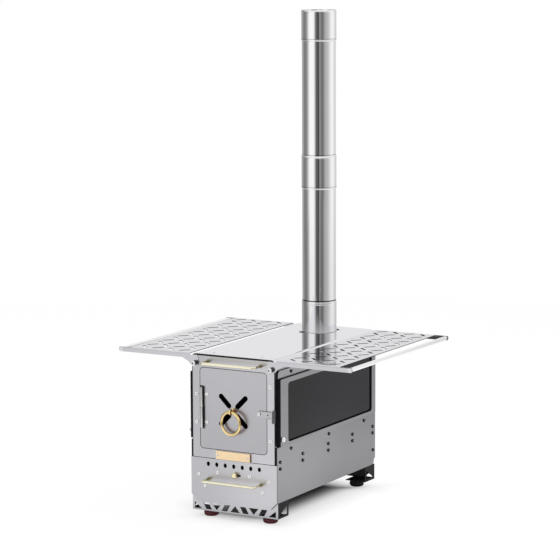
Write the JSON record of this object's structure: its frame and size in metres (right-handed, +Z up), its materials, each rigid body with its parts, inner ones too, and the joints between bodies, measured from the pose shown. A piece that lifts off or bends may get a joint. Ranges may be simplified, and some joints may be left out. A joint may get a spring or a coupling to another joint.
{
  "type": "tent wood stove",
  "caption": "Steel tent stove with an inset front door, glass side panels, an ash drawer, folding lattice side shelves and a tall jointed chimney.",
  "frame": {"origin": "on the ground, under the middle of the whole stove's bounding box", "axes": "+Z up along the chimney, -Y out of the front with the door and the ash drawer, +X to the right of a viewer who faces the door"},
  "size_m": [0.602, 0.5254, 1.1325],
  "materials": {
    "sheet_steel": "fine satin stainless sheet",
    "polished_steel": "mirror-polished stainless",
    "smoked_glass": "flat clear ceramic glass that looks dark over the unlit firebox",
    "black_seal": "black woven graphite gasket",
    "rope_seal": "knitted glass-fibre rope",
    "cast_grate": "rough dark cast iron",
    "pale_brass": "polished pale brass",
    "gold_brass": "polished yellow brass",
    "bare_wood": "plain oiled pale wood, left bare",
    "red_rubber": "dark red matte rubber"
  },
  "bodies": {
    "stove_body": {"body_shell": "sheet_steel", "front_panel": "sheet_steel", "back_panel": "sheet_steel", "base_plate": "sheet_steel", "side_skirt_left": "sheet_steel", "side_skirt_right": "sheet_steel", "head_strip_left": "sheet_steel", "head_strip_right": "sheet_steel", "window_seal_left": "black_seal", "window_seal_right": "black_seal", "window_bezel_left": "sheet_steel", "window_bezel_right": "sheet_steel", "window_glass_left": "smoked_glass", "window_glass_right": "smoked_glass", "glass_clamp_left": "sheet_steel", "glass_clamp_right": "sheet_steel", "window_button_left": "polished_steel", "window_button_right": "polished_steel", "grate_rail_left": "sheet_steel", "grate_rail_right": "sheet_steel", "fire_grate": "cast_grate", "door_stop_frame": "sheet_steel", "hinge_frame_leaf": "sheet_steel", "hinge_pin": "polished_steel", "latch_keeper": "sheet_steel", "top_handle": "pale_brass", "nameplate": "bare_wood", "front_leg_frame": "sheet_steel", "rear_leg_frame": "sheet_steel", "foot_front_left": "red_rubber", "foot_front_right": "red_rubber", "foot_rear_left": "red_rubber", "foot_rear_right": "red_rubber", "shelf_bolt_front_left": "polished_steel", "shelf_bolt_front_right": "polished_steel", "shelf_bolt_rear_left": "polished_steel", "shelf_bolt_rear_right": "polished_steel", "flue_base_sleeve": "polished_steel", "chimney_section_lower": "polished_steel", "chimney_section_upper": "polished_steel"},
    "door": {"door_panel": "sheet_steel", "door_rope_seal": "rope_seal", "hinge_door_leaf": "sheet_steel", "latch_pivot": "polished_steel"},
    "air_vent": {"vent_disc": "sheet_steel", "ring_eye": "gold_brass"},
    "pull_ring": {"pull_ring": "gold_brass"},
    "latch": {"latch_lever": "sheet_steel"},
    "ash_drawer": {"drawer_front": "sheet_steel", "drawer_tray": "sheet_steel", "drawer_handle": "pale_brass", "air_slide_track": "sheet_steel"},
    "air_slide": {"air_slide": "sheet_steel", "air_slide_knob": "pale_brass"},
    "left_shelf": {"shelf_left": "polished_steel", "shelf_rail_left": "polished_steel"},
    "right_shelf": {"shelf_right": "polished_steel", "shelf_rail_right": "polished_steel"}
  },
  "joints": [
    {"name": "door_hinge", "type": "hinge", "parent": "stove_body", "child": "door", "pos_m": [-0.08, -0.23041, 0.254], "axis": [0, 0, -1], "range_deg": [0, 110]},
    {"name": "air_vent_turn", "type": "hinge", "parent": "door", "child": "air_vent", "pos_m": [0, -0.22791, 0.2525], "axis": [0, 1, 0], "range_deg": [0, 45]},
    {"name": "pull_ring_swing", "type": "hinge", "parent": "air_vent", "child": "pull_ring", "pos_m": [0, -0.23991, 0.2521], "axis": [-1, 0, 0], "range_deg": [-8, 110]},
    {"name": "latch_turn", "type": "hinge", "parent": "door", "child": "latch", "pos_m": [0.068, -0.23041, 0.2525], "axis": [0, -1, 0], "range_deg": [0, 75]},
    {"name": "ash_drawer_slide", "type": "slide", "parent": "stove_body", "child": "ash_drawer", "axis": [0, -1, 0], "range_m": [0, 0.38]},
    {"name": "air_slide_move", "type": "slide", "parent": "ash_drawer", "child": "air_slide", "axis": [1, 0, 0], "range_m": [0, 0.011]},
    {"name": "left_shelf_fold", "type": "hinge", "parent": "stove_body", "child": "left_shelf", "pos_m": [-0.0986, 0, 0.3545], "axis": [0, -1, 0], "range_deg": [0, 87]},
    {"name": "right_shelf_fold", "type": "hinge", "parent": "stove_body", "child": "right_shelf", "pos_m": [0.0986, 0, 0.3545], "axis": [0, 1, 0], "range_deg": [0, 87]}
  ]
}
